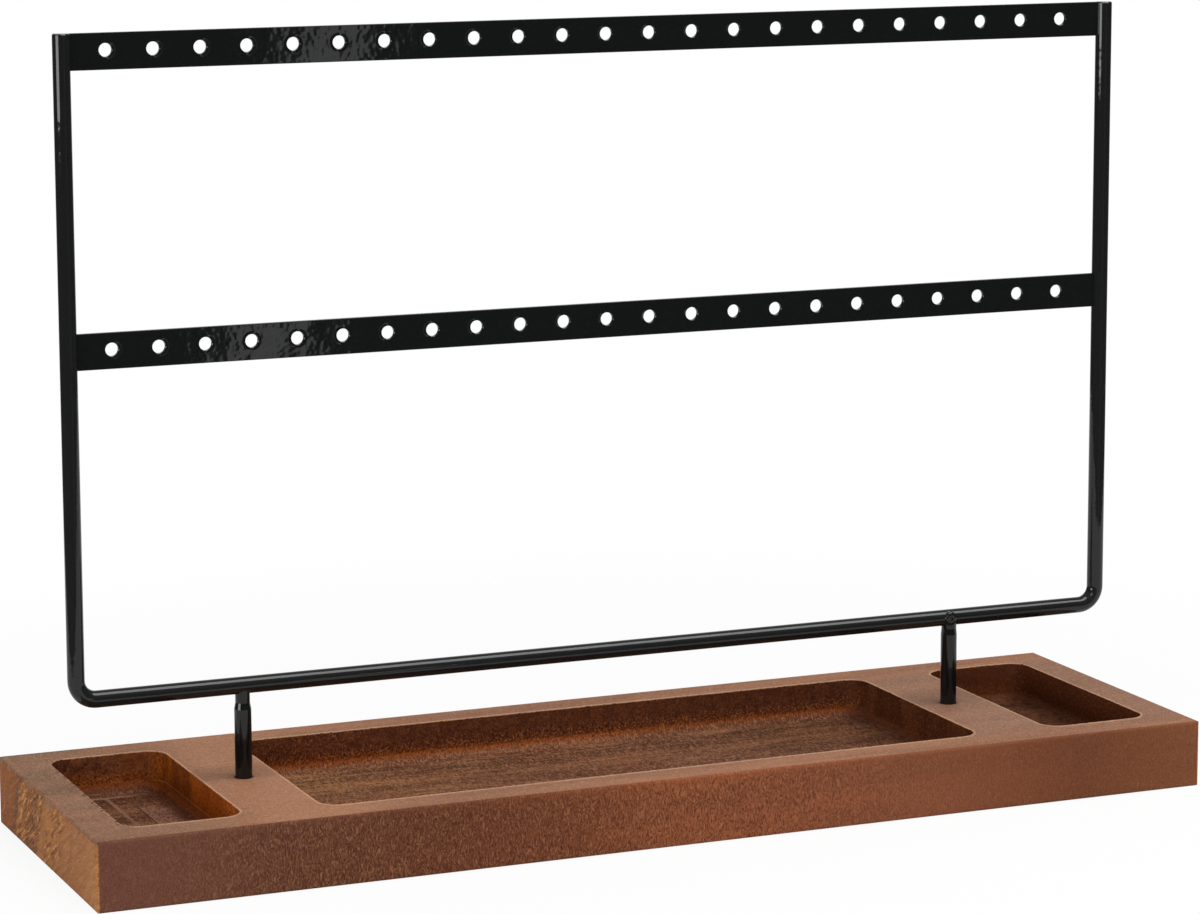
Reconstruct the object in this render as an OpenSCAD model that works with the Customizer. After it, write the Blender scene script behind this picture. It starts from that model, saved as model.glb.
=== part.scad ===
// Earring display stand: a solid wooden tray base with three routed pockets, and a black wire
// frame with two perforated bars, held to the base by two screws from below.
// The origin is the middle of the base's underside. X runs along the base, Y from front to back.

/* [Tray base] */
// Length of the wooden base
base_length = 300; // [260:1:400]
// Depth of the base from front to back
base_depth = 90; // [70:1:140]
// Thickness of the base
base_thickness = 17.5; // [15:0.5:30]
// Radius of the base's sanded upright corners
corner_round = 1; // [0.5:0.1:4]
// Radius of the base's sanded top and bottom edges
edge_round = 0.8; // [0.3:0.1:2]

/* [Pockets] */
// Width of the rim between the pockets and the outside of the base
rim_width = 10; // [6:0.5:16]
// Length of each end pocket along the base
end_pocket_length = 30; // [20:1:50]
// Width of each rib between two pockets
rib_width = 20; // [14:0.5:30]
// Depth of the pockets below the top face
pocket_depth = 10; // [5:0.5:12]
// Radius of the pockets' upright corners
pocket_corner_round = 5; // [3.5:0.5:9]
// Radius of the cove between a pocket's wall and its floor
pocket_floor_round = 2.5; // [1:0.25:3.25]

/* [Wire frame] */
// Diameter of the frame's wire and of the posts
wire_diameter = 4.3; // [4:0.1:6]
// Distance from the base's end to the middle of the upright nearest to it
upright_inset = 7.5; // [5:0.5:20]
// Distance that the uprights stand to the right of the base's middle
frame_shift = 1; // [-3:0.5:3]
// Clear height between the base and the bottom wire
clear_height = 21.3; // [12:0.1:60]
// Height of the uprights' ends above the middle of the bottom wire
upright_height = 163.2; // [110:0.1:260]
// Radius of the two lower bends, to the middle of the wire
bend_radius = 5; // [3.5:0.5:20]
// Chamfer on the wire's two cut ends
cut_end_chamfer = 0.3; // [0.1:0.1:0.8]

/* [Perforated bars] */
// Height of each bar
bar_height = 9; // [8:0.5:16]
// Thickness of each bar
bar_thickness = 1; // [0.8:0.1:2]
// Radius of a bar's long edges under the paint
bar_edge_round = 0.2; // [0.1:0.05:0.35]
// Distance from one bar's top edge down to the next bar's top edge
bar_spacing = 72.6; // [40:0.1:90]
// Diameter of the earring holes
hole_diameter = 3.3; // [2:0.1:4.5]
// Distance from one hole to the next
hole_pitch = 11.85; // [8:0.05:20]
// Distance from the middle of the left upright to the first hole
first_hole = 10.8; // [7:0.1:20]
// Least distance from the last hole to the middle of the right upright
last_hole_margin = 8; // [7:0.1:13]
// Distance from a bar's top edge to the middle of its holes
hole_inset = 4.2; // [3.5:0.1:5]
// Chamfer round each hole
hole_chamfer = 0.15; // [0.05:0.05:0.3]

/* [Posts and welds] */
// Distance that each post stands inwards from the middle of its rib
post_inset = 1; // [0:0.5:3]
// Diameter of the left post's end, which is ground down for its weld
left_neck_diameter = 3.7; // [3.4:0.1:4]
// Diameter of the right post's end, which is ground down less
right_neck_diameter = 4; // [3.6:0.1:4]
// Length of the left post's ground end below the wire
left_neck_length = 2.2; // [0.5:0.1:5]
// Length of the right post's ground end below the wire
right_neck_length = 0.8; // [0.5:0.1:5]
// Length over which a post narrows to its ground end
neck_taper = 1.6; // [0.5:0.1:4]
// Radius of the round weld that joins a post to the wire
post_weld_radius = 1.9; // [1.6:0.1:2]
// Height of that weld above the wire's surface
post_weld_rise = 0.4; // [0.2:0.05:0.8]
// Radius of the weld's rounded rim
post_weld_round = 0.9; // [0.1:0.1:1.2]
// Radius of the dimple in the middle of the weld
post_weld_dimple = 0.45; // [0.2:0.05:0.6]
// Distance of the right post's weld to the left of that post's middle
right_weld_offset = 0.5; // [0:0.1:0.8]
// Radius of the weld bead behind each end of a bar
bar_weld_radius = 0.8; // [0.6:0.1:1.4]

/* [Screws] */
// Depth of the blind hole that a post stands in
seat_depth = 9; // [6:0.5:10.5]
// Clearance round a post in its hole
seat_clearance = 0.1; // [0.05:0.05:0.4]
// Diameter of the screw's thread
screw_diameter = 2.5; // [2:0.1:3]
// Length of the screw's thread inside the post
thread_engagement = 5; // [3:0.5:7]
// Clearance round the thread in the post
thread_clearance = 0.05; // [0.02:0.01:0.1]
// Depth of the tapped hole beyond the screw's end
tap_run_out = 1.5; // [0.5:0.5:3]
// Clearance round the screw in the base and in the washer
screw_clearance = 0.2; // [0.1:0.05:0.4]
// Diameter of the screw's head
head_diameter = 5; // [4.2:0.1:5.8]
// Height of the screw's head
head_height = 2.1; // [1.6:0.1:2.6]
// Width of the cross cut into the screw's head
drive_width = 0.7; // [0.5:0.1:1.2]
// Length of the cross cut into the screw's head
drive_length = 2.8; // [2:0.1:3.4]
// Depth of the cross cut into the screw's head
drive_depth = 1.1; // [0.6:0.1:1.4]
// Diameter of the washer
washer_diameter = 6; // [5.6:0.1:8]
// Thickness of the washer
washer_thickness = 0.5; // [0.3:0.1:1]
// Clearance round the washer in its counterbore
counterbore_clearance = 0.5; // [0.25:0.25:1.5]
// Distance of the screw's head above the base's underside
head_recess = 1.4; // [0.5:0.1:2]

/* [Hidden] */

// A small overlap that lets a cutter reach past the face that it opens
past = 1;
wood = [0.47, 0.27, 0.17];
black_paint = [0.06, 0.065, 0.065];
zinc = [0.72, 0.72, 0.70];

wire_radius = wire_diameter / 2;

// The pockets, each as its left end and its right end
main_pocket_half = base_length / 2 - rim_width - end_pocket_length - rib_width;
end_pocket_outside = base_length / 2 - rim_width;
end_pocket_inside = end_pocket_outside - end_pocket_length;
pockets = [
    [-end_pocket_outside, -end_pocket_inside],
    [-main_pocket_half, main_pocket_half],
    [end_pocket_inside, end_pocket_outside]
];

// The frame, from the base's top face upwards
left_upright_x = -base_length / 2 + upright_inset + frame_shift;
right_upright_x = base_length / 2 - upright_inset + frame_shift;
bottom_wire_z = base_thickness + clear_height + wire_radius;
frame_top_z = bottom_wire_z + upright_height;
top_bar_z = frame_top_z - bar_height / 2;
middle_bar_z = top_bar_z - bar_spacing;
hole_room = right_upright_x - left_upright_x - first_hole - last_hole_margin;
hole_count = floor(hole_room / hole_pitch) + 1;
hole_z = bar_height / 2 - hole_inset;

// The posts stand in the ribs
post_x = main_pocket_half + rib_width / 2 - post_inset;
seat_z = base_thickness - seat_depth;

// The screws, from the base's underside upwards
washer_z = head_recess + head_height;
counterbore_ceiling_z = washer_z + washer_thickness;
counterbore_diameter = washer_diameter + 2 * counterbore_clearance;
screw_length = seat_z + thread_engagement - washer_z;
tapped_hole_depth = thread_engagement + tap_run_out;

// A rectangle with round corners, centred on the origin
module round_rectangle(size_x, size_y, r) {
    union() {
        square([size_x - 2 * r, size_y], center = true);
        square([size_x, size_y - 2 * r], center = true);
        for (sx = [-1, 1], sy = [-1, 1])
            translate([sx * (size_x / 2 - r), sy * (size_y / 2 - r)])
                circle(r, $fn = 48);
    }
}

// The sanded block: where three round-cornered bars cross
module sanded_block() {
    intersection() {
        linear_extrude(base_thickness)
            round_rectangle(base_length, base_depth, corner_round);
        translate([0, base_depth / 2, base_thickness / 2])
            rotate([90, 0, 0])
                linear_extrude(base_depth)
                    round_rectangle(base_length, base_thickness, edge_round);
        translate([-base_length / 2, 0, base_thickness / 2])
            rotate([90, 0, 90])
                linear_extrude(base_length)
                    round_rectangle(base_depth, base_thickness, edge_round);
    }
}

// A quarter of a ring, which rounds a pocket's floor in one corner
module corner_cove(turn) {
    rotate([0, 0, turn])
        rotate_extrude(angle = 90, $fn = 96)
            translate([pocket_corner_round - pocket_floor_round, 0])
                circle(pocket_floor_round, $fn = 48);
}

// The space that the router clears: straight walls, round corners and a cove at the floor
module pocket(x_from, x_to) {
    size_x = x_to - x_from;
    size_y = base_depth - 2 * rim_width;
    cove = pocket_floor_round;
    straight_x = size_x - 2 * pocket_corner_round;
    straight_y = size_y - 2 * pocket_corner_round;
    translate([(x_from + x_to) / 2, 0, base_thickness - pocket_depth]) {
        translate([0, 0, cove])
            linear_extrude(pocket_depth - cove + past)
                round_rectangle(size_x, size_y, pocket_corner_round);
        linear_extrude(pocket_depth)
            round_rectangle(size_x - 2 * cove, size_y - 2 * cove, pocket_corner_round - cove);
        for (s = [-1, 1]) {
            translate([-straight_x / 2, s * (size_y / 2 - cove), cove])
                rotate([0, 90, 0])
                    cylinder(r = cove, h = straight_x, $fn = 48);
            translate([s * (size_x / 2 - cove), straight_y / 2, cove])
                rotate([90, 0, 0])
                    cylinder(r = cove, h = straight_y, $fn = 48);
        }
        for (i = [0 : 3])
            translate([
                (i == 0 || i == 3 ? 1 : -1) * straight_x / 2,
                (i < 2 ? 1 : -1) * straight_y / 2,
                cove
            ])
                corner_cove(90 * i);
    }
}

// The stepped hole under a post: its seat, the screw's hole and the counterbore for the head
module post_hole(x) {
    translate([x, 0, 0]) {
        translate([0, 0, seat_z])
            cylinder(d = wire_diameter + 2 * seat_clearance, h = seat_depth + past, $fn = 48);
        translate([0, 0, counterbore_ceiling_z - past])
            cylinder(d = screw_diameter + 2 * screw_clearance,
                h = seat_z - counterbore_ceiling_z + 2 * past, $fn = 48);
        translate([0, 0, -past])
            cylinder(d = counterbore_diameter, h = counterbore_ceiling_z + past, $fn = 48);
    }
}

module base() {
    color(wood)
        difference() {
            sanded_block();
            for (p = pockets)
                pocket(p[0], p[1]);
            for (s = [-1, 1])
                post_hole(s * post_x);
        }
}

// One upright of the frame, with its cut end at the top
module upright(x) {
    straight = frame_top_z - bottom_wire_z - bend_radius - cut_end_chamfer;
    translate([x, 0, bottom_wire_z + bend_radius]) {
        cylinder(r = wire_radius, h = straight, $fn = 64);
        translate([0, 0, straight])
            cylinder(r1 = wire_radius, r2 = wire_radius - cut_end_chamfer,
                h = cut_end_chamfer, $fn = 64);
    }
}

// A lower bend: a quarter ring that runs from the bottom wire up to an upright
module bend(x, turn) {
    translate([x, 0, bottom_wire_z + bend_radius])
        rotate([90, 0, 0])
            rotate([0, 0, turn])
                rotate_extrude(angle = 90, $fn = 128)
                    translate([bend_radius, 0])
                        circle(wire_radius, $fn = 64);
}

module bottom_wire() {
    x_from = left_upright_x + bend_radius;
    x_to = right_upright_x - bend_radius;
    translate([x_from, 0, bottom_wire_z])
        rotate([0, 90, 0])
            cylinder(r = wire_radius, h = x_to - x_from, $fn = 64);
}

module frame_wire() {
    color(black_paint)
        union() {
            bottom_wire();
            bend(left_upright_x + bend_radius, 180);
            bend(right_upright_x - bend_radius, 270);
            upright(left_upright_x);
            upright(right_upright_x);
        }
}

// One earring hole with its two painted rims
module earring_hole() {
    r = hole_diameter / 2;
    rotate([90, 0, 0]) {
        cylinder(r = r, h = bar_thickness + 2 * past, center = true, $fn = 48);
        for (s = [0, 1])
            mirror([0, 0, s])
                translate([0, 0, bar_thickness / 2 - hole_chamfer])
                    cylinder(r1 = r, r2 = r + 2 * hole_chamfer, h = 2 * hole_chamfer, $fn = 48);
    }
}

// A bar between the uprights, with its ends hollowed to fit the round wire
module perforated_bar(z) {
    difference() {
        translate([left_upright_x, 0, z])
            rotate([90, 0, 90])
                linear_extrude(right_upright_x - left_upright_x)
                    round_rectangle(bar_thickness, bar_height, bar_edge_round);
        for (x = [left_upright_x, right_upright_x])
            translate([x, 0, z - bar_height])
                cylinder(r = wire_radius, h = 2 * bar_height, $fn = 64);
        for (i = [0 : hole_count - 1])
            translate([left_upright_x + first_hole + i * hole_pitch, 0, z + hole_z])
                earring_hole();
    }
}

module top_bar() {
    color(black_paint)
        perforated_bar(top_bar_z);
}

module middle_bar() {
    color(black_paint)
        perforated_bar(middle_bar_z);
}

// A post's round rod, ground down at its upper end, which reaches into the wire
module post_rod(x, neck_diameter, neck_length) {
    shank = bottom_wire_z - wire_radius - neck_length - neck_taper - seat_z;
    neck_radius = neck_diameter / 2;
    translate([x, 0, seat_z]) {
        cylinder(r = wire_radius, h = shank, $fn = 64);
        translate([0, 0, shank])
            cylinder(r1 = wire_radius, r2 = neck_radius, h = neck_taper, $fn = 64);
        translate([0, 0, shank + neck_taper])
            cylinder(r = neck_radius, h = neck_length + wire_radius, $fn = 64);
    }
}

// A post: its rod, hollowed at the top to fit the wire and tapped from below for its screw
module post(x, neck_diameter, neck_length) {
    difference() {
        post_rod(x, neck_diameter, neck_length);
        bottom_wire();
        translate([x, 0, seat_z - past])
            cylinder(d = screw_diameter + 2 * thread_clearance,
                h = tapped_hole_depth + past, $fn = 48);
    }
}

module left_post() {
    color(black_paint)
        post(-post_x, left_neck_diameter, left_neck_length);
}

module right_post() {
    color(black_paint)
        post(post_x, right_neck_diameter, right_neck_length);
}

// A round weld spot with a rounded rim and a dimple, which rises from the wire's middle along +Z
module weld_spot() {
    top = wire_radius + post_weld_rise;
    rotate_extrude($fn = 96)
        difference() {
            union() {
                square([post_weld_radius - post_weld_round, top]);
                square([post_weld_radius, top - post_weld_round]);
                translate([post_weld_radius - post_weld_round, top - post_weld_round])
                    circle(post_weld_round, $fn = 48);
            }
            translate([0, top])
                circle(post_weld_dimple, $fn = 48);
        }
}

// The weld of the left post, behind the wire
module left_post_weld() {
    color(black_paint)
        difference() {
            translate([-post_x, 0, bottom_wire_z - wire_radius / 3])
                rotate([-90, 0, 0])
                    weld_spot();
            bottom_wire();
            post_rod(-post_x, left_neck_diameter, left_neck_length);
        }
}

// The weld of the right post, in front of the wire
module right_post_weld() {
    color(black_paint)
        difference() {
            translate([post_x - right_weld_offset, 0, bottom_wire_z])
                rotate([90, 0, 0])
                    weld_spot();
            bottom_wire();
            post_rod(post_x, right_neck_diameter, right_neck_length);
        }
}

// The beads in the corners behind a bar's two ends
module bar_welds(z) {
    corner_x = sqrt(wire_radius * wire_radius - bar_thickness * bar_thickness / 4);
    difference() {
        for (s = [1, -1])
            translate([
                (s > 0 ? left_upright_x : right_upright_x) + s * corner_x,
                bar_thickness / 2,
                z - bar_height / 2 + bar_weld_radius
            ])
                cylinder(r = bar_weld_radius, h = bar_height - 2 * bar_weld_radius, $fn = 48);
        for (x = [left_upright_x, right_upright_x])
            translate([x, 0, z - bar_height])
                cylinder(r = wire_radius, h = 2 * bar_height, $fn = 64);
        translate([left_upright_x, -bar_height, z - bar_height])
            cube([
                right_upright_x - left_upright_x,
                bar_height + bar_thickness / 2,
                2 * bar_height
            ]);
    }
}

module top_bar_welds() {
    color(black_paint)
        bar_welds(top_bar_z);
}

module middle_bar_welds() {
    color(black_paint)
        bar_welds(middle_bar_z);
}

// A pan head screw, head down, with a cross cut in the head
module screw(x) {
    dome = head_height * 0.45;
    head_radius = head_diameter / 2;
    translate([x, 0, washer_z])
        difference() {
            union() {
                cylinder(d = screw_diameter, h = screw_length, $fn = 48);
                translate([0, 0, -head_height])
                    rotate_extrude($fn = 96)
                        union() {
                            translate([0, dome])
                                square([head_radius, head_height - dome]);
                            square([head_radius - dome, head_height]);
                            translate([head_radius - dome, dome])
                                intersection() {
                                    circle(dome, $fn = 48);
                                    translate([0, -dome])
                                        square(dome);
                                }
                        }
            }
            for (turn = [0, 90])
                rotate([0, 0, turn])
                    translate([-drive_length / 2, -drive_width / 2, -head_height - past])
                        cube([drive_length, drive_width, drive_depth + past]);
        }
}

module left_screw() {
    color(zinc)
        screw(-post_x);
}

module right_screw() {
    color(zinc)
        screw(post_x);
}

module washer(x) {
    translate([x, 0, washer_z])
        difference() {
            cylinder(d = washer_diameter, h = washer_thickness, $fn = 64);
            translate([0, 0, -past])
                cylinder(d = screw_diameter + 2 * screw_clearance,
                    h = washer_thickness + 2 * past, $fn = 48);
        }
}

module left_washer() {
    color(zinc)
        washer(-post_x);
}

module right_washer() {
    color(zinc)
        washer(post_x);
}

base();
frame_wire();
top_bar();
middle_bar();
left_post();
right_post();
left_post_weld();
right_post_weld();
top_bar_welds();
middle_bar_welds();
left_screw();
right_screw();
left_washer();
right_washer();
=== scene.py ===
"""The dressed earring stand: materials on the CAD nodes, studio light, the photograph's camera."""
import math
import bmesh
import bpy
from mathutils import Matrix, Vector

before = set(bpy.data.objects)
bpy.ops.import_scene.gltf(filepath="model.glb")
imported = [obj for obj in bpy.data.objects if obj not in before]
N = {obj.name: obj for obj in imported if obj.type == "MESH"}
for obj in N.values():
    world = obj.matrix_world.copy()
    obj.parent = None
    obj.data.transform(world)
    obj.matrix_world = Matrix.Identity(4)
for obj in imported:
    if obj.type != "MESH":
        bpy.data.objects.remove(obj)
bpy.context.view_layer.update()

# Places on the stand that the materials follow, in millimetres
HALF_X, HALF_Y = 150, 45                # half the board's length and depth
POCKET_HALF_Y, CORNER = 35, 5           # half the pockets' depth, and their round corners
MIDDLE_HALF = 90                        # half the middle pocket's length
END_AT, END_HALF = 125, 15              # the end pockets' middle, and half their length
END_IN, END_OUT = END_AT - END_HALF, END_AT + END_HALF
POST_X = 99
HOLE_PITCH, FIRST_HOLE_X = 11.85, -130.7
HOLE_ROWS_Z = (199.95, 127.35)          # middles of the two bars
BAR_MIDDLE_X, BAR_HALF, BAR_FACE_Y = 1, 140, 0.7

# The floor, in metres
FLOOR_AT, FLOOR_RADIUS, FLOOR_CORNERS = (0.08, 0.14), 0.48, 96
OPENING_HALF = (0.1488, 0.0438)         # just inside the edges of the base's flat underside

# The camera, solved from the base's corners and the frame's ends in the photograph
PHOTO_WIDTH, PHOTO_MIDDLE_ROW = 1200, 457
FOCAL_PX, AXIS_ROW = 4043.062, 380
SENSOR_MM = 36.0
CAMERA_AT = (-0.39837, -0.93998, 0.27076)
CAMERA_TURN, CAMERA_TILT, CAMERA_ROLL = -0.398939687, -0.154764103, 0.00328204408


def rgb(c):
    """An 8-bit sRGB triple as a linear colour; sockets pass through."""
    if isinstance(c, bpy.types.NodeSocket):
        return c
    f = [v / 255.0 for v in c]
    f = [v / 12.92 if v <= 0.04045 else ((v + 0.055) / 1.055) ** 2.4 for v in f]
    return (f[0], f[1], f[2], 1.0)


class G:
    """Short names for building a node graph."""

    def __init__(self, owner):
        """Start with the empty graph of a material or world."""
        owner.use_nodes = True
        self.nt = owner.node_tree
        self.nt.nodes.clear()

    def put(self, socket, v):
        """Link an input to a socket, or give it a value; None leaves it as it is."""
        if isinstance(v, bpy.types.NodeSocket):
            self.nt.links.new(v, socket)
        elif v is not None:
            socket.default_value = v

    def node(self, kind, *ins, **props):
        """A new node, with its properties and then its first inputs set."""
        n = self.nt.nodes.new("ShaderNode" + kind)
        for key, v in props.items():
            setattr(n, key, v)
        for socket, v in zip(n.inputs, ins):
            self.put(socket, v)
        return n

    def co(self):
        """The place on the object, in metres."""
        return self.node("TexCoord").outputs["Object"]

    def mm(self):
        """The place on the object, in millimetres."""
        return self.vmath("MULTIPLY", self.co(), (1000, 1000, 1000))

    def mapping(self, v, scale, loc=(0, 0, 0)):
        n = self.node("Mapping", v)
        n.inputs["Scale"].default_value = scale
        n.inputs["Location"].default_value = loc
        return n.outputs[0]

    def noise(self, v, detail, rough=0.5, out="Fac"):
        n = self.node("TexNoise", v)
        n.inputs["Scale"].default_value = 1.0
        n.inputs["Detail"].default_value = detail
        n.inputs["Roughness"].default_value = rough
        return n.outputs[out]

    def math(self, op, a, b=None, c=None):
        return self.node("Math", a, b, c, operation=op).outputs[0]

    def chain(self, op, values):
        r = values[0]
        for v in values[1:]:
            r = self.math(op, r, v)
        return r

    def mul(self, *v):
        return self.chain("MULTIPLY", v)

    def add(self, *v):
        return self.chain("ADD", v)

    def sub(self, a, b):
        return self.math("SUBTRACT", a, b)

    def max(self, a, b):
        return self.math("MAXIMUM", a, b)

    def min(self, a, b):
        return self.math("MINIMUM", a, b)

    def abs(self, a):
        return self.math("ABSOLUTE", a)

    def less(self, a, b):
        return self.math("LESS_THAN", a, b)

    def more(self, a, b):
        return self.math("GREATER_THAN", a, b)

    def hypot(self, a, b):
        return self.math("SQRT", self.add(self.mul(a, a), self.mul(b, b)))

    def shift(self, v, noise, width):
        """A value moved by a noise, by up to half the width either way."""
        return self.add(v, self.mul(self.sub(noise, 0.5), width))

    def vmath(self, op, a, b):
        return self.node("VectorMath", a, b, operation=op).outputs[0]

    def sep(self, v):
        return self.node("SeparateXYZ", v).outputs[0:3]

    def comb(self, x, y, z):
        return self.node("CombineXYZ", x, y, z).outputs[0]

    def ss(self, v, lo, hi, a=0.0, b=1.0):
        """a at lo and b at hi, with a smooth step between them; lo may be the larger."""
        return self.node("MapRange", v, lo, hi, a, b, interpolation_type="SMOOTHSTEP").outputs[0]

    def lin(self, v, lo, hi, a=0.0, b=1.0):
        """a at lo and b at hi, with a straight line between them."""
        return self.node("MapRange", v, lo, hi, a, b).outputs[0]

    def mix(self, fac, a, b, mode="MIX"):
        n = self.node("Mix", fac, data_type="RGBA", blend_type=mode)
        self.put(n.inputs[6], rgb(a))
        self.put(n.inputs[7], rgb(b))
        return n.outputs[2]

    def ramp(self, v, stops):
        n = self.node("ValToRGB", v)
        e = n.color_ramp.elements
        while len(e) < len(stops):
            e.new(0.5)
        for i, (at, c) in enumerate(stops):
            e[i].position = at
            e[i].color = rgb(c)
        return n.outputs[0]

    def bump(self, height, distance):
        n = self.node("Bump")
        n.inputs["Strength"].default_value = 1.0
        n.inputs["Distance"].default_value = distance
        self.put(n.inputs["Height"], height)
        return n.outputs[0]


def mat(name):
    """A new material, its graph and its principled shader."""
    m = bpy.data.materials.new(name)
    g = G(m)
    out = g.node("OutputMaterial")
    bsdf = g.node("BsdfPrincipled")
    g.put(out.inputs[0], bsdf.outputs[0])
    return m, g, bsdf


def assign(m, *names):
    for n in names:
        d = N[n].data
        d.materials.clear()
        d.materials.append(m)


def link(name, data):
    """A new object in the scene."""
    o = bpy.data.objects.new(name, data)
    bpy.context.scene.collection.objects.link(o)
    return o


def wood():
    """The base. Each zone's mask and colour come from the place on it, in millimetres."""
    m, g, b = mat("wood_oiled")
    mul, add, sub, ss, mix = g.mul, g.add, g.sub, g.ss, g.mix
    p = g.mm()
    x, y, z = g.sep(p)
    ax, ay = g.abs(x), g.abs(y)

    # noises that the zones share; w* bend the finer ones
    big = g.noise(g.mapping(p, (0.012, 0.04, 0.06)), 2)
    wx, wy, wz = g.sep(g.noise(g.mapping(p, (0.33, 0.33, 0.33)), 2, out="Color"))
    rag = g.noise(g.mapping(p, (0.75, 0.75, 0.75), (5, 5, 5)), 3, 0.6)

    def outside(from_middle, half):
        """How far a point lies outside a pocket, seen from above."""
        qx = sub(from_middle, half - CORNER)
        qy = sub(ay, POCKET_HALF_Y - CORNER)
        round_corner = g.hypot(g.max(qx, 0), g.max(qy, 0))
        return sub(add(round_corner, g.min(g.max(qx, qy), 0)), CORNER)

    off = g.min(outside(g.abs(sub(ax, END_AT)), END_HALF), outside(ax, MIDDLE_HALF))

    # masks of the ends, with an upper border that runs down in places, and of the long sides
    spill = g.noise(g.comb(0.0, mul(y, 0.11), 0.0), 3, 0.65)
    drop = ss(spill, 0.45, 0.72, 0.2, 2.6)
    end = mul(ss(ax, HALF_X - 0.8, HALF_X - 0.5), ss(add(z, drop, mul(rag, 0.6)), 17.9, 17.4))
    side = mul(ss(ay, HALF_Y - 0.65, HALF_Y - 0.4), ss(ax, HALF_X - 0.3, HALF_X - 0.5))

    # mask of the pockets, whose rims are ragged and nicked, most at the left end
    nick = mul(ss(rag, 0.5, 0.68, 0.0, 0.5), ss(x, -134, -139, 0.6, 2.6))
    past_rim = sub(off, nick)
    on_board = g.less(ax, 146)
    deep = mul(ss(past_rim, 0.12, 0.02), on_board)
    deep = mul(deep, ss(g.shift(z, rag, ss(x, -100, -106, 0.3, 1.2)), 17.45, 17.25))
    nicked = mul(ss(past_rim, 0.0, -0.08), on_board)
    deep = g.max(deep, mul(nicked, ss(nick, 0.1, 0.2)))
    deep = mul(deep, g.more(z, 3.0))

    # grain along the board, and specks
    yy = g.shift(y, big, 14)
    fine = g.noise(g.comb(mul(x, 0.35), mul(yy, 2.6), mul(z, 2.6)), 3, 0.65)
    speck = g.noise(g.mapping(p, (2.6, 2.6, 2.6)), 2, 0.6)

    def top_colour():
        """Dusty and smooth, greyer towards both ends. The underside has it too, but plainer."""
        streak = g.noise(g.comb(mul(x, 0.012), mul(yy, 0.13), mul(z, 0.16)), 3)
        patch = g.noise(g.mapping(p, (0.045, 0.09, 0.09), (2, 8, 3)), 3, 0.55)
        mottle = g.noise(g.mapping(p, (1.5, 0.5, 1.0), (7, 2, 0)), 2, 0.7)
        grit = g.noise(g.mapping(p, (3.3, 1.3, 1.0), (3, 6, 0)), 1)
        above = g.more(z, 0.85)
        col = mix(ss(streak, 0.36, 0.62), (140, 95, 70), (160, 110, 80))
        col = mix(ss(patch, 0.4, 0.62, 0, 0.35), col, (142, 97, 73))
        rib_glow = mul(ss(x, -114, -104), ss(x, -70, -88), above)
        col = mix(mul(rib_glow, 0.7), col, (171, 120, 88))
        left_grey = mul(ss(x, -96, -140), ss(patch, 0.62, 0.36, 0.35, 1.0))
        left_grey = g.max(left_grey, mul(ss(x, -118, -140), ss(y, -24, -38), 0.8))
        col = mix(mul(left_grey, above, 0.8), col, (120, 91, 71))
        pale = mul(ss(x, -134, -140), ss(mottle, 0.4, 0.6), ss(y, -30, 0))
        col = mix(mul(pale, 0.5), col, (152, 118, 92))
        col = mix(mul(ss(x, -132, -147), ss(streak, 0.58, 0.42), 0.35), col, (112, 82, 58))
        right_grey = mul(ss(x, 10, 110, 0, 0.6), ss(y, 40, 28), ss(y, -41, -30, 0.1, 1), above)
        col = mix(right_grey, col, (136, 104, 86))
        col = mix(ss(fine, 0.5, 0.75, 0, 0.12), col, (112, 76, 54))
        col = mix(ss(mottle, 0.52, 0.68, 0, 0.2), col, (194, 146, 108))
        col = mix(ss(mottle, 0.46, 0.32, 0, 0.2), col, (124, 80, 54))
        col = mix(ss(grit, 0.52, 0.68, 0, 0.26), col, (206, 160, 126))
        col = mix(ss(grit, 0.48, 0.32, 0, 0.26), col, (110, 70, 48))
        col = mix(ss(fine, 0.54, 0.7, 0, 0.2), col, (126, 84, 66))
        # light wood where the pockets' edges are sanded, with a painted highlight along the
        # rounded rims
        edge = ss(ay, 34.5, 35.5, 0.8, 1.6)
        sanded_and_highlight = mul(ss(off, edge, 0.3), ss(rag, 0.38, 0.56, 0.5, 1.0), ss(z, 17.2, 17.4),
                     ss(x, -139.5, -137.5, 0.3, 1.0))
        col = mix(mul(sanded_and_highlight, 0.72), col, (208, 162, 126))
        # a dark ring and soft shade round each post
        foot = g.hypot(sub(ax, POST_X), y)
        col = mix(mul(ss(foot, 2.75, 2.35), ss(z, 17.3, 17.45), 0.8), col, (44, 26, 18))
        return mix(ss(foot, 7.0, 2.5, 0, 0.14), col, (108, 66, 56))

    # short wavy strokes, mostly upright, and rounder marks of the pockets' walls
    stroke = g.noise(g.comb(add(mul(x, 3.3), mul(wx, 8.0)), add(mul(y, 1.5), mul(wy, 3.6)),
                            add(mul(z, 1.1), mul(wz, 4.5))), 1)
    ridge = ss(stroke, 0.52, 0.66)
    groove = ss(stroke, 0.48, 0.35)
    worm = g.noise(g.comb(add(mul(x, 2.2), mul(wz, 5.0)), add(mul(y, 2.0), mul(wx, 4.0)),
                          add(mul(z, 1.9), mul(wy, 5.0))), 1)
    amount = mul(ss(x, -142, -98, 0.3, 1), ss(x, 88, 15, 0.28, 1), ss(z, 17.4, 14.5, 0.6, 1.0))

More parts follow.
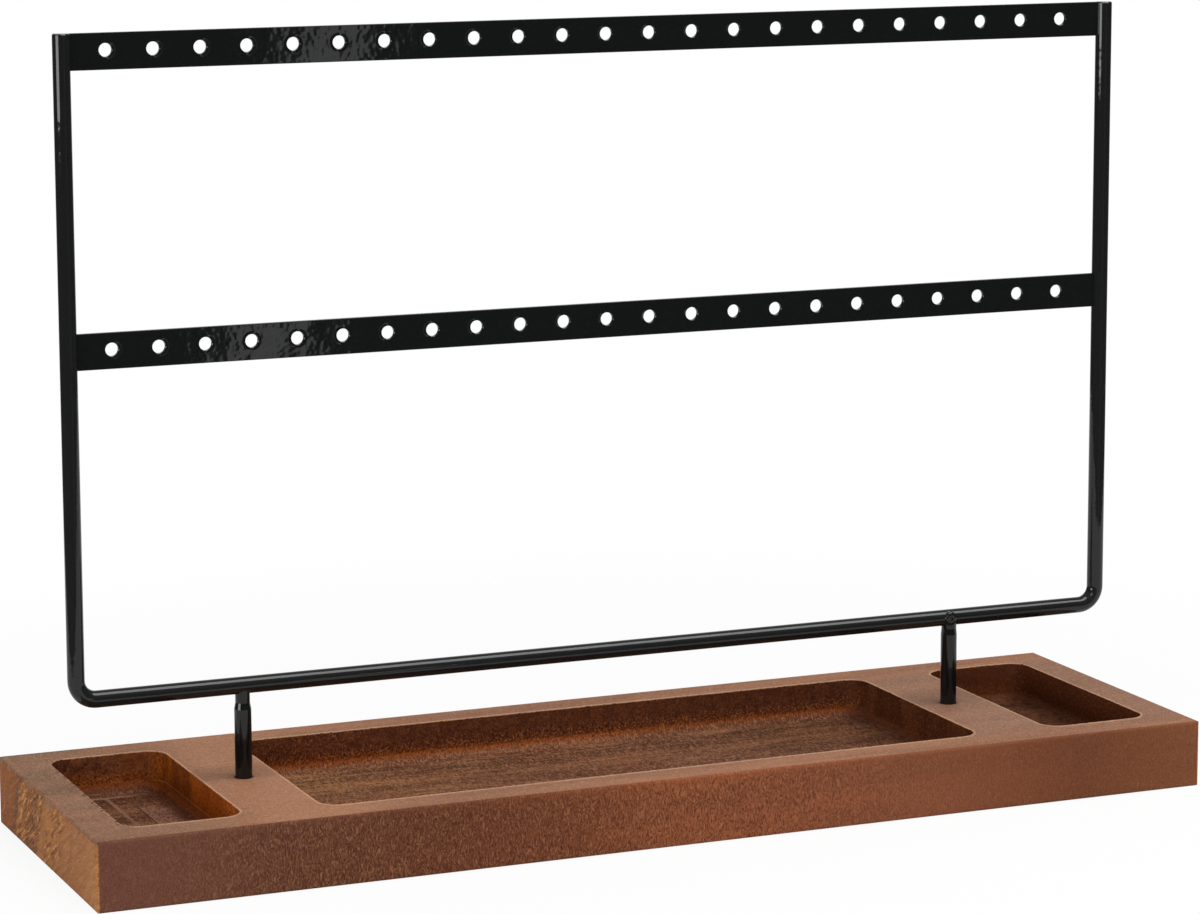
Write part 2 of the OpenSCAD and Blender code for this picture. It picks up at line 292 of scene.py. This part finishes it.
    def side_colour():
        """The long sides: lightest in the middle, where a pool of light is painted into the
        colour, and covered with strokes.
        """
        tone = g.noise(g.mapping(p, (0.02, 0.05, 0.12), (9, 2, 4)), 3)
        # painted light: the ramp is lightest where light falls on the middle of the sides
        col = g.ramp(g.lin(x, -HALF_X, HALF_X), [
            (0.0, (112, 72, 59)), (0.1, (113, 73, 55)), (0.3, (115, 66, 43)),
            (0.4, (133, 75, 46)), (0.5, (160, 91, 57)), (0.6, (161, 92, 59)),
            (0.72, (145, 86, 58)), (0.88, (119, 69, 44)), (1.0, (136, 84, 54))])
        col = mix(ss(tone, 0.42, 0.62, 0, 0.25), col, (112, 67, 48))
        col = mix(mul(groove, amount, 0.64), col, (74, 32, 17))
        col = mix(mul(ridge, amount, 0.38), col, (192, 132, 95))
        col = mix(ss(fine, 0.52, 0.7, 0, 0.14), col, (96, 54, 36))
        col = mix(ss(speck, 0.5, 0.68, 0, 0.2), col, (176, 112, 76))
        return mix(ss(speck, 0.5, 0.34, 0, 0.2), col, (84, 46, 30))

    # the end grain's slanting bands, two of them rough with torn pits
    slant = g.shift(g.shift(add(y, mul(z, 0.55)), wy, 5), big, 6)
    lean = g.shift(add(y, mul(z, 1.6)), big, 6)
    along = sub(z, mul(y, 0.45))
    torn = g.noise(g.comb(mul(x, 0.9), add(mul(lean, 0.44), mul(wx, 1.8)),
                          add(mul(along, 0.2), mul(wz, 1.8))), 3, 0.6)
    rough_back = mul(ss(slant, 9, 12, 0.22, 0.85), ss(slant, 34, 31, 0.25, 1.0))
    rough_mid = mul(ss(slant, -12, -6, 0.22, 0.7), ss(slant, 9, 3, 0.0, 1.0))
    rough_at = g.max(rough_back, rough_mid)

    def end_grain_colour():
        """The board's two ends."""
        col = g.ramp(g.lin(slant, -45, 55), [
            (0.0, (180, 122, 74)), (0.14, (168, 108, 62)), (0.26, (155, 100, 56)),
            (0.39, (163, 105, 54)), (0.5, (170, 108, 52)), (0.56, (152, 97, 54)),
            (0.61, (130, 74, 33)), (0.66, (136, 76, 29)), (0.73, (166, 104, 44)),
            (0.762, (146, 88, 38)), (0.775, (98, 52, 20)), (0.8, (131, 68, 20)),
            (1.0, (147, 83, 32))])
        # the torn pits: dark crevices, partly painted shade in them, and painted highlights on
        # their edges
        col = mix(mul(ss(torn, 0.5, 0.41), rough_at), col, (70, 32, 10))
        col = mix(mul(ss(torn, 0.53, 0.65, 0, 0.8), rough_at), col, (230, 172, 106))
        col = mix(ss(speck, 0.5, 0.66, 0, 0.45), col, (206, 150, 98))
        return mix(ss(speck, 0.5, 0.36, 0, 0.45), col, (96, 56, 30))

    # in the pockets: the left one differs from the others
    in_left = ss(x, -100, -105)
    dots = g.noise(g.mapping(p, (2.5, 0.8, 1.0), (1, 1, 0)), 1, 0.6)
    cutter_line = mul(ss(z, 9.55, 9.85), ss(z, 10.25, 9.95), in_left)

    def by_pocket(others, left):
        """One value in the left pocket and another in the rest."""
        return g.lin(in_left, 0, 1, others, left)

    def wall_colour():
        """The pockets' long walls darken towards the rim and are orange low down, partly the oiled
        wood's colour and partly a painted glow of light thrown back from the floor.
        """
        marks = g.noise(g.comb(add(mul(x, 0.5), mul(wx, 2.4)), mul(y, 0.3),
                               add(mul(z, 0.55), mul(wz, 2.6))), 2, 0.6)
        blotch = ss(marks, 0.36, 0.62)
        # glow: the oiled wood's orange plus painted bounce light from the floor
        glow = mix(mul(blotch, by_pocket(0.4, 0.7)), (132, 67, 25), (190, 108, 43))
        dark = mix(mul(blotch, by_pocket(0.3, 0.9)), (98, 53, 33), (142, 82, 50))
        height = g.shift(g.shift(z, big, 6), marks, 3)
        col = mix(ss(height, by_pocket(9.6, 10.0), by_pocket(12.6, 14.4)), glow, dark)
        col = mix(mul(ss(worm, 0.48, 0.36), ss(z, 15.0, 11.5, 0.45, 0.68)), col, (58, 26, 12))
        marked = g.max(ss(z, 14.2, 10.6, 0.14, 0.62),
                       mul(ss(x, -30, -75, 0, 0.36), sub(1.0, in_left)))
        col = mix(mul(ss(worm, 0.53, 0.66), marked), col, (204, 126, 66))
        col = mix(ss(x, 20, 60, 0, 0.22), col, (66, 34, 16))
        col = mix(mul(in_left, ss(x, -124, -117, 0, 0.3)), col, (156, 82, 26))
        return mix(mul(cutter_line, ss(speck, 0.4, 0.6, 0.1, 0.6)), col, (196, 134, 84))

    def band(v, at, half):
        """A soft line at one place."""
        return ss(g.abs(sub(v, at)), half, half * 0.4)

    def floor_colour():
        """The pockets' floors: striped along the board, and darker towards the right."""
        stripe = g.noise(g.comb(mul(x, 0.02), mul(yy, 0.13), 0.0), 2, 0.6)
        thread = g.noise(g.comb(mul(x, 0.05), mul(yy, 0.42), 0.0), 2, 0.6)
        col = g.ramp(g.lin(g.shift(y, big, 7), -POCKET_HALF_Y, POCKET_HALF_Y), [
            (0.0, (150, 98, 66)), (0.2, (142, 94, 62)), (0.36, (122, 78, 50)),
            (0.5, (148, 94, 62)), (0.63, (136, 88, 60)), (0.69, (164, 114, 78)),
            (0.76, (156, 108, 74)), (0.81, (120, 80, 56)), (0.93, (112, 78, 58)),
            (0.965, (150, 104, 76)), (1.0, (140, 92, 64))])
        col = mix(ss(stripe, 0.5, 0.36, 0, 0.5), col, (104, 64, 40))
        col = mix(ss(stripe, 0.52, 0.66, 0, 0.5), col, (182, 126, 84))
        col = mix(ss(thread, 0.48, 0.38, 0, 0.45), col, (92, 54, 34))
        col = mix(ss(thread, 0.54, 0.66, 0, 0.45), col, (196, 142, 98))
        col = mix(ss(dots, 0.51, 0.66, 0, 0.52), col, (218, 164, 116))
        col = mix(ss(dots, 0.48, 0.35, 0, 0.56), col, (70, 38, 22))
        col = mix(ss(fine, 0.5, 0.7, 0, 0.25), col, (76, 44, 28))
        # light lines along the edges of the cutter's steps on the left pocket's floor: painted
        # highlights on the small ridges there
        steps = add(mul(band(x, -126.2, 0.65), ss(y, 30.5, 29.5), ss(y, -24, -14)),
                    mul(band(y, 30.2, 1.1), ss(x, -132, -130), ss(x, -117.5, -120.5)),
                    mul(band(x, -120.6, 0.3), ss(y, 22, 17), 0.35))
        steps = mul(steps, in_left, ss(speck, 0.35, 0.55, 0.4, 1.0))
        col = mix(mul(steps, 0.7), col, (220, 172, 138))
        # lit: painted light on the step beside them; then a line of painted shade along the next
        # step's edge
        lit = mul(in_left, ss(x, -121.2, -120.4), ss(x, -112.8, -115.5), ss(y, 24, 12),
                  ss(dots, 0.4, 0.56, 0.3, 1.0))
        col = mix(mul(lit, 0.5), col, (208, 162, 136))
        col = mix(mul(in_left, band(x, -121.3, 0.35), ss(y, 26, 20), 0.5), col, (70, 40, 30))
        # painted shade: darker at the foot of the right-hand walls
        shade = add(mul(ss(x, 72, 88), ss(x, 96, 92)), mul(ss(x, 128, 137), 0.6))
        col = mix(mul(shade, 0.45), col, (70, 36, 22))
        col = mix(mul(in_left, ss(x, -116.5, -113.0, 0, 0.6)), col, (112, 56, 26))
        # darker towards the right and in the left pocket, lightest in the middle
        tone_along_board = g.ramp(g.lin(x, -HALF_X, HALF_X), [
            (0.0, (202, 190, 192)), (0.16, (202, 190, 192)), (0.2, (252, 250, 244)),
            (0.28, (248, 242, 240)), (0.42, (222, 212, 214)), (0.54, (230, 218, 222)),
            (0.62, (230, 224, 232)), (0.7, (200, 190, 190)), (1.0, (168, 148, 138))])
        return mix(1.0, col, tone_along_board, "MULTIPLY")

    cove_z = g.shift(z, dots, by_pocket(1.6, 0.3))

    def cove_colour():
        """The curve between the pockets' walls and floors."""
        foot = mix(ss(x, 0, 70), (136, 88, 61), (118, 74, 51))
        # the orange upper part of the curve, also in the left pocket, carries on the walls' glow:
        # partly the wood's colour, partly painted bounce light
        col = mix(ss(cove_z, 9.5, 7.9), (164, 84, 34), foot)
        col = mix(ss(x, 5, 45, 0, 0.3), col, (78, 44, 24))
        col = mix(in_left, col, mix(ss(z, 9.4, 8.1), (148, 76, 34), (98, 56, 37)))
        by_right_wall = mul(in_left, ss(x, -114.5, -112.3))
        col = mix(mul(by_right_wall, 0.85), col, (146, 70, 16))
        # painted shade at the foot of the middle pocket's right-hand wall
        col = mix(mul(ss(x, 84, 89), 0.8), col, (84, 42, 20))
        col = mix(ss(x, 100, 104), col, (92, 50, 28))
        col = mix(mul(ss(worm, 0.5, 0.38, 0, 0.62), by_pocket(1.0, 0.5)), col, (66, 32, 18))
        dotted = mul(ss(x, 88, 78, 0.03, 0.34), by_pocket(1.0, 0.35))
        return mix(mul(ss(dots, 0.5, 0.64), dotted), col, (196, 144, 104))

    def end_wall_colour():
        """The walls that close a pocket's ends: end grain, darker towards the right."""
        vert = g.noise(g.comb(0.0, add(mul(y, 0.16), mul(wx, 0.8)), mul(z, 0.04)), 2)
        hair = g.noise(g.comb(0.0, add(mul(y, 1.6), mul(wy, 1.2)), mul(z, 0.16)), 2)
        col = mix(ss(vert, 0.4, 0.6), (122, 54, 9), (166, 84, 18))
        col = mix(ss(hair, 0.52, 0.66, 0, 0.5), col, (168, 92, 30))
        col = mix(mul(ss(hair, 0.53, 0.62), ss(y, -12, -28, 0, 0.9)), col, (226, 156, 84))
        col = mix(ss(y, 18, -8, 0, 0.45), col, (186, 84, 6))
        col = mix(ss(x, -132, -136), col, (92, 50, 26))
        col = mix(ss(x, 60, 90), col, mix(ss(vert, 0.4, 0.62), (76, 36, 16), (97, 52, 28)))
        col = mix(ss(x, 95, 105), col, (92, 46, 24))
        col = mix(mul(ss(worm, 0.5, 0.36), ss(x, 100, 60, 0.35, 0.6)), col, (60, 26, 8))
        return mix(mul(ss(worm, 0.54, 0.68), ss(x, 100, 60, 0.2, 0.3)), col, (190, 116, 54))

    def pocket_colour():
        col = mix(ss(cove_z, 10.4, 9.5), wall_colour(), cove_colour())
        col = mix(ss(cove_z, 8.1, 7.6), col, floor_colour())
        across = g.max(ss(ax, END_OUT - 3.5, END_OUT - 0.4),
                       mul(ss(ax, MIDDLE_HALF - 3.5, MIDDLE_HALF - 0.4),
                           ss(ax, END_IN + 3.5, END_IN + 0.4)))
        col = mix(mul(across, ss(z, 8.6, 10.0)), col, end_wall_colour())
        col = mix(mul(cutter_line, across, 0.45), col, (196, 130, 84))
        right = mul(ss(x, 100, 105), ss(z, 7.8, 8.6), sub(1.0, across))
        return mix(mul(right, 0.6), col, (110, 59, 35))

    def relief():
        """The bump's height, with the cutter's shallow steps on the left pocket's floor."""
        strokes = sub(ridge, groove)
        on_left_floor = mul(g.less(z, 7.8), g.less(x, -100))
        cut1 = mul(ss(x, -126.6, -126.0), ss(y, 30.6, 30.0))
        cut2 = mul(ss(x, -121.5, -120.9), ss(y, 30.6, 30.0))
        return add(mul(strokes, amount, side, 0.7), mul(strokes, deep, 0.4), mul(fine, 0.4),
                   mul(torn, end, rough_at, 2.4), mul(dots, deep, 0.8), mul(speck, 0.3),
                   mul(add(cut1, mul(cut2, 0.6)), on_left_floor, 1.2))

    col = mix(side, top_colour(), side_colour())
    col = mix(end, col, end_grain_colour())
    col = mix(deep, col, pocket_colour())
    g.put(b.inputs["Base Color"], col)
    g.put(b.inputs["Roughness"], g.lin(fine, 0.3, 0.7, 0.58, 0.72))
    b.inputs["Specular IOR Level"].default_value = 0.1
    g.put(b.inputs["Normal"], g.bump(relief(), 0.0002))
    return m


def black(name, colour):
    """Glossy black coat with orange peel, and a dip round each hole of the bars."""
    m, g, b = mat(name)
    p = g.mm()
    x, y, z = g.sep(p)
    b.inputs["Base Color"].default_value = colour
    b.inputs["Roughness"].default_value = 0.045
    b.inputs["Specular IOR Level"].default_value = 0.33
    peel = g.noise(g.mapping(p, (0.85, 0.85, 0.85)), 0)
    waves = g.noise(g.mapping(p, (0.11, 0.11, 0.11), (4, 0, 2)), 1)
    # distance from the nearest hole's middle
    holes = g.math("DIVIDE", g.sub(x, FIRST_HOLE_X - HOLE_PITCH / 2), HOLE_PITCH)
    hole_x = g.mul(g.sub(g.math("FRACT", holes), 0.5), HOLE_PITCH)
    hole_z = g.min(*(g.abs(g.sub(z, row)) for row in HOLE_ROWS_Z))
    on_bar = g.mul(g.less(g.abs(y), BAR_FACE_Y), g.less(g.abs(g.sub(x, BAR_MIDDLE_X)), BAR_HALF))
    rim = g.mul(g.ss(g.hypot(hole_x, hole_z), 2.5, 1.5), on_bar)
    height = g.add(g.mul(peel, g.math("MULTIPLY_ADD", on_bar, 0.18, 0.42)), g.mul(waves, 4.0),
                   g.mul(rim, 3.4))
    g.put(b.inputs["Normal"], g.bump(height, 0.000016))
    return m


def zinc():
    """Plated steel of the screws and washers."""
    m, g, b = mat("zinc_plate")
    grain = g.noise(g.mapping(g.mm(), (3, 3, 3)), 3)
    g.put(b.inputs["Base Color"], g.mix(grain, (176, 176, 170), (206, 206, 202)))
    b.inputs["Metallic"].default_value = 1.0
    g.put(b.inputs["Roughness"], g.lin(grain, 0.3, 0.7, 0.26, 0.42))
    return m


def floor_mesh():
    """A disc that is open under the base, so that the underside can be seen from below."""
    bm = bmesh.new()
    turns = [2 * math.pi * i / FLOOR_CORNERS for i in range(FLOOR_CORNERS)]
    disc_rim = [(FLOOR_RADIUS * math.cos(a), FLOOR_RADIUS * math.sin(a)) for a in turns]
    opening = [(sx * OPENING_HALF[0] - FLOOR_AT[0], sy * OPENING_HALF[1] - FLOOR_AT[1])
               for sx, sy in ((-1, -1), (1, -1), (1, 1), (-1, 1))]
    edges = []
    for loop in (disc_rim, opening):
        corners = [bm.verts.new((cx, cy, 0)) for cx, cy in loop]
        edges += [bm.edges.new((corners[i - 1], corners[i])) for i in range(len(corners))]
    bmesh.ops.triangle_fill(bm, use_beauty=True, edges=edges, normal=(0, 0, 1))
    mesh = bpy.data.meshes.new("floor")
    bm.to_mesh(mesh)
    bm.free()
    return mesh


def floor_white():
    """Takes a faint shadow near the stand, and turns to the background's white away from it."""
    m = bpy.data.materials.new("floor_white")
    g = G(m)
    out = g.node("OutputMaterial")
    diffuse = g.node("BsdfDiffuse", (0.86, 0.86, 0.86, 1))
    glow = g.node("Emission", (1, 1, 1, 1), 1.0)
    rays = g.node("LightPath").outputs
    seen = g.max(rays["Is Camera Ray"],
                 g.max(rays["Is Glossy Ray"], rays["Is Transmission Ray"]))
    flat = g.vmath("MULTIPLY", g.vmath("ADD", g.co(), (0.05, 0.06, 0)), (1, 1.2, 0))
    far = g.node("VectorMath", flat, operation="LENGTH").outputs["Value"]
    white = g.ss(far, 0.12, 0.36, 0.88, 1.0)
    shader = g.node("MixShader", g.mul(seen, white), diffuse.outputs[0], glow.outputs[0])
    g.put(out.inputs[0], shader.outputs[0])
    return m


def studio():
    """White for the camera; for all other rays white behind the stand and dim in front."""
    w = bpy.data.worlds.new("studio")
    g = G(w)
    out = g.node("OutputWorld")
    dx, dy, dz = g.sep(g.node("TexCoord").outputs["Generated"])
    backdrop = g.ss(g.add(g.mul(dx, 0.39), g.mul(dy, 0.92)), 0.72, 0.93, 0.10, 1.0)
    ceiling = g.ss(dz, 0.2, 0.8, 0.0, 0.30)
    level = g.max(backdrop, ceiling)
    room = g.node("Background", g.comb(level, level, level))
    white = g.node("Background", (1, 1, 1, 1))
    seen = g.node("LightPath").outputs["Is Camera Ray"]
    shader = g.node("MixShader", seen, room.outputs[0], white.outputs[0])
    g.put(out.inputs[0], shader.outputs[0])
    return w


def softbox(name, at, aim, size_x, size_y, radiance, roll=0.0):
    """An area light of a given radiance, aimed at a point and rolled about its own axis."""
    lamp = bpy.data.lights.new(name, "AREA")
    lamp.shape = "RECTANGLE"
    lamp.size, lamp.size_y = size_x, size_y
    lamp.energy = radiance * size_x * size_y * math.pi
    o = link(name, lamp)
    turn = (Vector(aim) - Vector(at)).to_track_quat("-Z", "Y").to_matrix().to_4x4()
    o.matrix_world = Matrix.Translation(at) @ turn @ Matrix.Rotation(math.radians(roll), 4, "Z")
    o.visible_camera = False


# Materials; the wire gets a lighter copy of the bars' and posts' black coat, as painted light on
# the same paint
assign(wood(), "base")
assign(black("black_coat", (0.0074, 0.0084, 0.0082, 1)),
       "top_bar", "middle_bar", "left_post", "right_post",
       "left_post_weld", "right_post_weld", "top_bar_welds", "middle_bar_welds")
assign(black("black_coat_wire_lit", (0.0128, 0.0136, 0.0132, 1)), "frame_wire")
assign(zinc(), "left_screw", "right_screw", "left_washer", "right_washer")

floor = link("floor", floor_mesh())
floor.location = (FLOOR_AT[0], FLOOR_AT[1], 0)
floor.data.materials.append(floor_white())

# Light: "below" is for the underside, and "strip" makes the bright patches on the bars
bpy.context.scene.world = studio()
softbox("overhead", (0.45, -0.30, 1.34), (0.45, -0.30, 0), 1.1, 0.85, 5.8)
softbox("left", (-1.35, -0.52, 0.22), (-0.10, 0, 0.18), 0.85, 0.32, 7.5)
softbox("front", (-0.9, -1.6, 1.0), (0, 0, 0.1), 0.8, 0.62, 3.2)
softbox("below", (0.05, -0.1, -0.7), (0, 0, 0), 0.7, 0.7, 3.0)
softbox("strip", (0.4214, -1.45, 0.07), (-0.09, 0, 0.16), 0.044, 0.76, 1.4, roll=-12.5)

# Camera
cam_data = bpy.data.cameras.new("camera")
cam_data.sensor_width = SENSOR_MM
cam_data.lens = FOCAL_PX / PHOTO_WIDTH * SENSOR_MM
cam_data.shift_y = (AXIS_ROW - PHOTO_MIDDLE_ROW) / PHOTO_WIDTH
cam_data.clip_start = 0.01
cam_data.clip_end = 20
cam = link("camera", cam_data)
cam.matrix_world = Matrix.Translation(CAMERA_AT) @ (
    Matrix.Rotation(CAMERA_TURN, 4, "Z") @ Matrix.Rotation(CAMERA_TILT, 4, "X")
    @ Matrix.Rotation(CAMERA_ROLL, 4, "Y") @ Matrix.Rotation(math.radians(90), 4, "X"))
bpy.context.scene.camera = cam
bpy.context.scene.view_settings.view_transform = "Standard"
